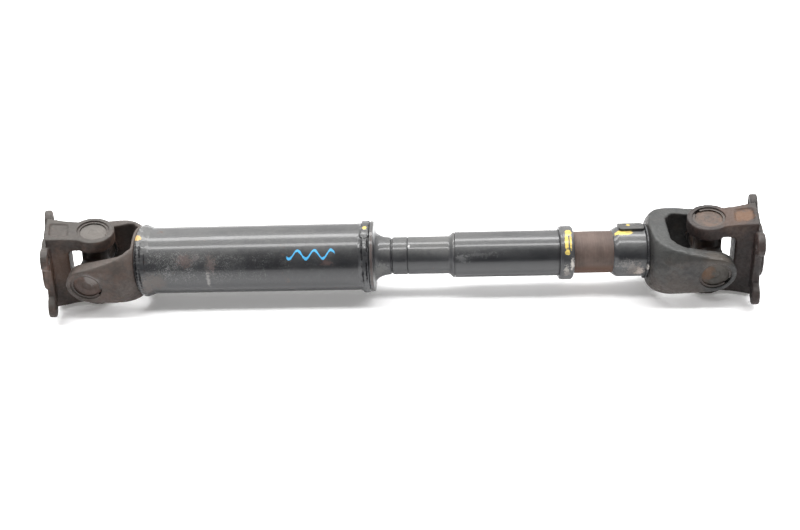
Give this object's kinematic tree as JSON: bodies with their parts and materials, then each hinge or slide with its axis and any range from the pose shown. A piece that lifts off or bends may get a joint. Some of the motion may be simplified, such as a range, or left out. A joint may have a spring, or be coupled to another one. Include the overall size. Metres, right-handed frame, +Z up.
{
  "type": "universal joint shaft",
  "caption": "telescoping propeller shaft with a cross-type universal joint and a square bolt-on flange at each end, a black tube, a sliding splined sleeve and a balance weight",
  "frame": {"origin": "the middle of the tube-end flange's outer face, on its round pilot", "axes": "+X along the shaft from the tube end to the slip end, +Z up, -Y towards the viewer"},
  "size_m": [0.7046, 0.0893, 0.0913],
  "materials": {
    "black_paint": "black paint, satin gloss, with specks, scratches and rust",
    "forged_steel": "forged steel, matt, brown with rust and dust",
    "dark_forged_steel": "forged steel, dull grey black paint, rough",
    "weld_metal": "lumpy weld under black paint",
    "bare_steel": "ground steel with a thin film of rust",
    "weight_steel": "bare sheet steel",
    "bearing_steel": "hardened steel, rusted outside",
    "spring_steel": "spring steel, dirty",
    "cross_steel": "forged and ground steel, greasy",
    "seal_rubber": "black rubber",
    "nipple_brass": "plain brass"
  },
  "bodies": {
    "tube_shaft": {"tube_yoke": "forged_steel", "tube_yoke_weld_bead": "weld_metal", "main_tube": "black_paint", "stub_weld_bead": "weld_metal", "splined_stub": "black_paint", "dust_tube": "black_paint", "seal_collar": "black_paint", "dust_seal": "seal_rubber", "tube_end_bearing_cup_front": "bearing_steel", "tube_end_snap_ring_front": "spring_steel", "tube_end_needle_rollers_front": "bearing_steel", "tube_end_cup_seal_front": "seal_rubber", "tube_end_bearing_cup_rear": "bearing_steel", "tube_end_snap_ring_rear": "spring_steel", "tube_end_needle_rollers_rear": "bearing_steel", "tube_end_cup_seal_rear": "seal_rubber"},
    "tube_end_cross_body": {"tube_end_cross": "cross_steel", "tube_end_grease_nipple": "nipple_brass"},
    "tube_end_flange_body": {"tube_end_flange_yoke": "forged_steel", "tube_end_bearing_cup_top": "bearing_steel", "tube_end_snap_ring_top": "spring_steel", "tube_end_needle_rollers_top": "bearing_steel", "tube_end_cup_seal_top": "seal_rubber", "tube_end_bearing_cup_bottom": "bearing_steel", "tube_end_snap_ring_bottom": "spring_steel", "tube_end_needle_rollers_bottom": "bearing_steel", "tube_end_cup_seal_bottom": "seal_rubber"},
    "slip_shaft": {"slip_sleeve": "bare_steel", "grease_plug": "bare_steel", "balance_weight": "weight_steel", "slip_yoke": "dark_forged_steel", "slip_yoke_weld_bead": "weld_metal", "slip_end_bearing_cup_front": "bearing_steel", "slip_end_snap_ring_front": "spring_steel", "slip_end_needle_rollers_front": "bearing_steel", "slip_end_cup_seal_front": "seal_rubber", "slip_end_bearing_cup_rear": "bearing_steel", "slip_end_snap_ring_rear": "spring_steel", "slip_end_needle_rollers_rear": "bearing_steel", "slip_end_cup_seal_rear": "seal_rubber"},
    "slip_end_cross_body": {"slip_end_cross": "cross_steel", "slip_end_grease_nipple": "nipple_brass"},
    "slip_end_flange_body": {"slip_end_flange_yoke": "forged_steel", "slip_end_bearing_cup_top": "bearing_steel", "slip_end_snap_ring_top": "spring_steel", "slip_end_needle_rollers_top": "bearing_steel", "slip_end_cup_seal_top": "seal_rubber", "slip_end_bearing_cup_bottom": "bearing_steel", "slip_end_snap_ring_bottom": "spring_steel", "slip_end_needle_rollers_bottom": "bearing_steel", "slip_end_cup_seal_bottom": "seal_rubber"}
  },
  "joints": [
    {"name": "tube_end_nod", "type": "hinge", "parent": "tube_shaft", "child": "tube_end_cross_body", "pos_m": [0.04706, 0.0109, -0.00695], "axis": [0, 1, 0], "range_deg": [-28.4, 11.6]},
    {"name": "tube_end_swing", "type": "hinge", "parent": "tube_end_cross_body", "child": "tube_end_flange_body", "pos_m": [0.04706, 0.0109, -0.00695], "axis": [0.1461, 0, 0.9893], "range_deg": [-32.9, 7.1]},
    {"name": "slip", "type": "slide", "parent": "tube_shaft", "child": "slip_shaft", "axis": [1, 0, 0], "range_m": [-0.029, 0.025]},
    {"name": "slip_end_nod", "type": "hinge", "parent": "slip_shaft", "child": "slip_end_cross_body", "pos_m": [0.63946, 0.0109, -0.00695], "axis": [0, 1, 0], "range_deg": [-14.6, 25.4]},
    {"name": "slip_end_swing", "type": "hinge", "parent": "slip_end_cross_body", "child": "slip_end_flange_body", "pos_m": [0.63946, 0.0109, -0.00695], "axis": [-0.0941, 0, 0.9956], "range_deg": [-12.9, 27.1]}
  ]
}
